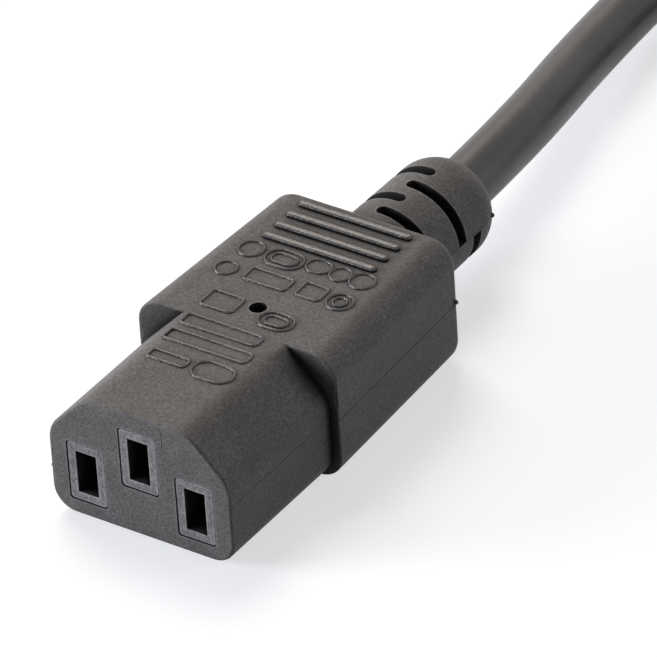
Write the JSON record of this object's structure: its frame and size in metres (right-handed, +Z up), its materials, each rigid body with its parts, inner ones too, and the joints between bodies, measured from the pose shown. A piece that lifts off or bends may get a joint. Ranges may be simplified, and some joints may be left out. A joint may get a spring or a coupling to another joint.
{
  "type": "y splitter power cord",
  "caption": "Short Y splitter power cord: a moulded appliance plug feeding two moulded appliance sockets through a moulded junction.",
  "frame": {"origin": "on the floor under the middle of the first socket, half way along it and across it", "axes": "+Z up; the first socket lies along Y with its contact face towards -Y and its cord leaving towards +Y; +X is to the right of someone facing that face"},
  "size_m": [0.0697, 0.3063, 0.0218],
  "materials": {
    "moulding": "fine matte grain",
    "carrier": "matte",
    "jacket": "satin",
    "brass": "plain",
    "core_line": "satin",
    "core_neutral": "satin",
    "core_earth": "satin",
    "strap": "looped"
  },
  "bodies": {
    "root": {"socket_a_body": "moulding", "socket_a_carrier": "carrier", "socket_a_contact_neutral": "brass", "socket_a_contact_earth": "brass", "socket_a_contact_line": "brass", "socket_a_core_neutral": "core_neutral", "socket_a_core_earth": "core_earth", "socket_a_core_line": "core_line", "socket_b_body": "moulding", "socket_b_carrier": "carrier", "socket_b_contact_neutral": "brass", "socket_b_contact_earth": "brass", "socket_b_contact_line": "brass", "socket_b_core_neutral": "core_neutral", "socket_b_core_earth": "core_earth", "socket_b_core_line": "core_line", "plug_body": "moulding", "plug_carrier": "carrier", "plug_pin_neutral": "brass", "plug_pin_earth": "brass", "plug_pin_line": "brass", "plug_core_neutral": "core_neutral", "plug_core_earth": "core_earth", "plug_core_line": "core_line", "junction_body": "moulding", "junction_splice_line": "brass", "junction_splice_earth": "brass", "junction_splice_neutral": "brass", "junction_core_a_line": "core_line", "junction_core_a_earth": "core_earth", "junction_core_a_neutral": "core_neutral", "junction_core_b_line": "core_line", "junction_core_b_earth": "core_earth", "junction_core_b_neutral": "core_neutral", "junction_core_trunk_line": "core_line", "junction_core_trunk_earth": "core_earth", "junction_core_trunk_neutral": "core_neutral", "cord_branch_a": "jacket", "cord_branch_b": "jacket", "cord_trunk": "jacket", "cord_tie": "strap"}
  },
  "joints": []
}
